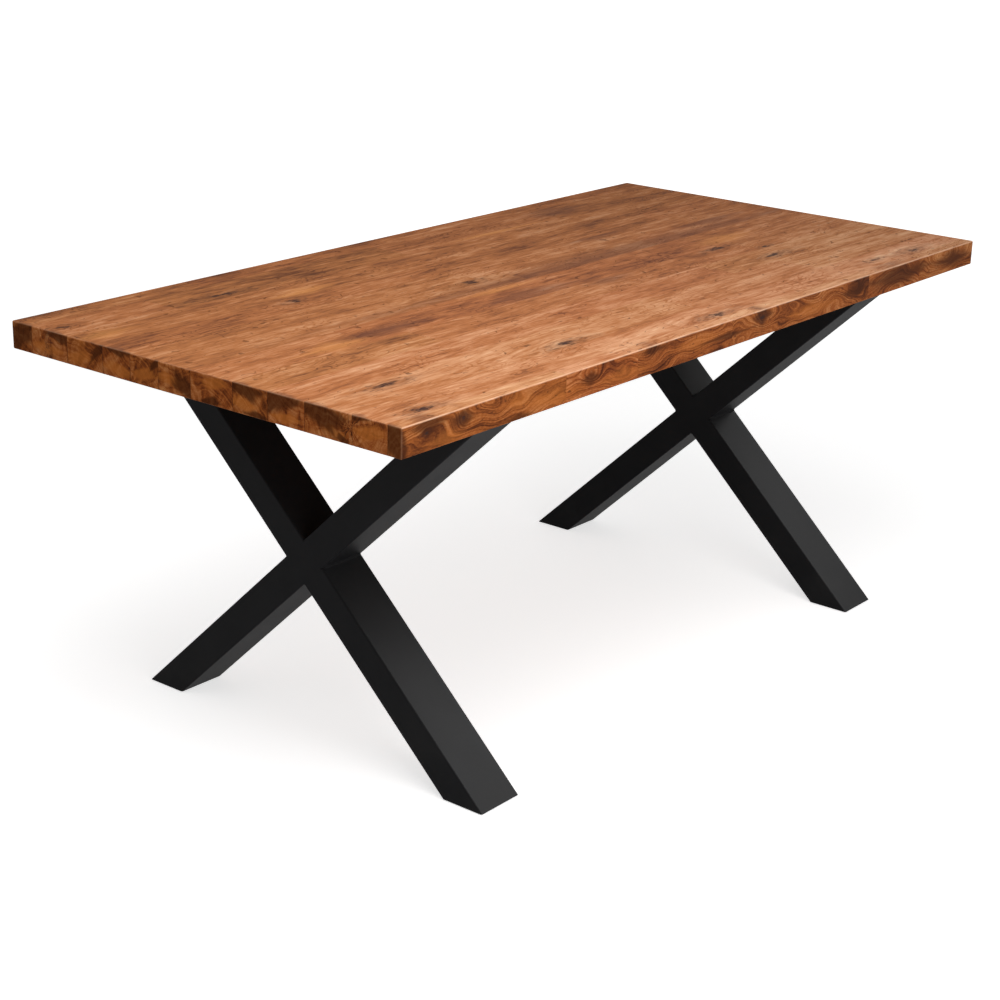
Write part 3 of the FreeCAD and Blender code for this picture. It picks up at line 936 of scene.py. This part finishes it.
def make_fillet_welds(frame_name, finishes):
    """Rippled fillet welds in the four corners of a crossing."""
    middle, long_way, half_way, spread, half_depth = crossing_of(frame_name)
    run = half_depth - tube_corner_round
    ring_count = round(2 * run / ripple_pitch * ripple_steps)
    solids = []
    for long_sign in (-1, 1):
        for half_sign in (-1, 1):
            corner = middle + (long_way * long_sign + half_way * half_sign) * spread
            rings = []
            for number in range(ring_count + 1):
                along = -run + 2 * run * number / ring_count
                ring = [corner + Vector((along, 0.0, 0.0))]
                from_end = (run - abs(along)) / weld_leg
                end_taper = min(1.0, weld_end_share + (1 - weld_end_share) * from_end)
                for step in range(weld_steps + 1):
                    share = step / weld_steps
                    lag = ripple_lag * (2 * share - 1) ** 2
                    ripple = abs(math.sin(math.pi * (along / ripple_pitch + lag)))
                    leg = weld_leg * end_taper * (1 - ripple_share * (1 - ripple))
                    turn = math.pi / 2 * share
                    ring.append(ring[0] + long_way * long_sign * leg * math.cos(turn) ** weld_bulge
                                + half_way * half_sign * leg * math.sin(turn) ** weld_bulge)
                rings.append(ring)
            if long_sign * half_sign > 0:
                rings.reverse()
            solids.append(rings)
    add_piece(frame_name + "_fillet_welds", solids, "table", "black_powder_coat", finishes,
              replaced=[frame_name + "_weld_beads"])


def make_threaded_screw(leg, finishes):
    """Levelling screw with a rolled thread, a flat chamfered head and a hexagon socket from below."""
    node = leg + "_levelling_screw"
    low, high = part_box(node)
    middle = (low + high) / 2
    head_radius = (high.x - low.x) / 2
    tip = high.z - low.z
    turns = [2 * math.pi * number / thread_sides for number in range(thread_sides)]

    def ring(height, radius_at):
        return [(middle.x + radius_at(turn) * math.cos(turn), middle.y + radius_at(turn) * math.sin(turn),
                 low.z + height) for turn in turns]

    def socket_radius(turn):
        return socket_flats / 2 / math.cos(turn % (math.pi / 3) - math.pi / 6)

    def round_at(radius):
        return lambda turn: radius

    def thread_at(height):
        def radius(turn):
            phase = (height / thread_pitch - turn / (2 * math.pi)) % 1.0
            return thread_radius - thread_depth * abs(2 * phase - 1)
        return radius

    rings = [
        ring(socket_depth, socket_radius),
        ring(0.0, socket_radius),
        ring(0.0, round_at(head_radius - head_chamfer)),
        ring(head_chamfer, round_at(head_radius)),
        ring(head_height - head_chamfer, round_at(head_radius)),
        ring(head_height, round_at(head_radius - head_chamfer)),
        ring(head_height, round_at(thread_radius - thread_depth)),
    ]
    threaded = tip - head_height - thread_pitch
    ring_count = round(threaded / thread_pitch * thread_steps)
    for number in range(ring_count + 1):
        height = head_height + threaded * number / ring_count
        rings.append(ring(height, thread_at(height)))
    rings.append(ring(tip, round_at(thread_radius - 2 * thread_depth)))
    add_piece(leg + "_threaded_screw", [rings], leg + "_screw", "zinc_steel", finishes, replaced=[node])


def seen_as_white(sheet):
    """1 for what the camera, a mirror or a glass sees, and 0 for the light that falls on the table."""
    ray = sheet.node("LightPath").outputs
    return sheet.larger(ray["Is Camera Ray"], sheet.larger(ray["Is Glossy Ray"], ray["Is Transmission Ray"]))


def make_floor():
    """A plain white floor that keeps the table's shadow and runs out into the white background."""
    mesh = bpy.data.meshes.new("floor")
    corners = [(-1, -1), (1, -1), (1, 1), (-1, 1)]
    mesh.from_pydata([(x * floor_half_width, y * floor_half_width, 0.0) for x, y in corners],
                     [], [(0, 1, 2, 3)])
    floor = bpy.data.objects.new("floor", mesh)
    bpy.context.collection.objects.link(floor)
    material, sheet, shader = new_material("white_floor")
    shader.inputs["Base Color"].default_value = floor_colour
    shader.inputs["Roughness"].default_value = floor_roughness
    shader.inputs["Specular IOR Level"].default_value = 0.0
    distance = sheet.vector("LENGTH", sheet.node("TexCoord").outputs["Object"], give="Value")
    far = sheet.step(distance, start=glow_fade_start, end=glow_fade_end)
    glow = sheet.between(far, none=floor_glow_near, full=floor_glow_far)
    shader.inputs["Emission Color"].default_value = white
    sheet.feed(shader.inputs["Emission Strength"], sheet.times(glow, seen_as_white(sheet)))
    seen_from_below = sheet.node("NewGeometry").outputs["Backfacing"]
    sheet.feed(shader.inputs["Alpha"], sheet.rest(seen_from_below))
    mesh.materials.append(material)


def make_world():
    """An even grey sky for the light, seen and mirrored as white."""
    world = bpy.data.worlds.new("studio")
    bpy.context.scene.world = world
    world.use_nodes = True
    world.node_tree.nodes.clear()
    sheet = Sheet(world.node_tree)
    background = sheet.node("Background")
    background.inputs["Color"].default_value = white
    sheet.feed(background.inputs["Strength"], sheet.between(seen_as_white(sheet), none=sky_light, full=1.0))
    sheet.feed(sheet.node("OutputWorld").inputs["Surface"], background.outputs[0])


def make_lamp(name, place, aim, size, power, gloss_only=False):
    """A square soft box."""
    light = bpy.data.lights.new(name, "AREA")
    light.shape = "SQUARE"
    light.size = size
    light.energy = power
    lamp = bpy.data.objects.new(name, light)
    turn = (Vector(aim) - Vector(place)).to_track_quat("-Z", "Y").to_matrix().to_4x4()
    lamp.matrix_world = Matrix.Translation(place) @ turn
    lamp.visible_diffuse = not gloss_only
    bpy.context.collection.objects.link(lamp)


def make_camera():
    """The photograph's camera."""
    behind = Vector((math.sin(camera_azimuth) * math.cos(camera_elevation),
                     -math.cos(camera_azimuth) * math.cos(camera_elevation),
                     math.sin(camera_elevation)))
    level_right = Vector((math.cos(camera_azimuth), math.sin(camera_azimuth), 0.0))
    level_up = behind.cross(level_right)
    right = level_right * math.cos(camera_roll) + level_up * math.sin(camera_roll)
    up = level_up * math.cos(camera_roll) - level_right * math.sin(camera_roll)
    turn = Matrix((right, up, behind)).transposed().to_4x4()
    lens = bpy.data.cameras.new("camera")
    lens.lens = camera_lens
    camera = bpy.data.objects.new("camera", lens)
    camera.matrix_world = Matrix.Translation(camera_place) @ turn
    bpy.context.collection.objects.link(camera)
    bpy.context.scene.camera = camera


steel_and_nylon = make_finishes()
dress_table(steel_and_nylon)
for side_name in ("left", "right"):
    make_ground_welds(side_name, steel_and_nylon)
    make_fillet_welds(side_name, steel_and_nylon)
    for foot_name in ("front", "back"):
        make_threaded_screw(side_name + "_" + foot_name, steel_and_nylon)
make_floor()
make_world()
for lamp_name, settings in lamps.items():
    make_lamp(lamp_name, **settings)
make_camera()
bpy.context.scene.view_settings.view_transform = "Standard"
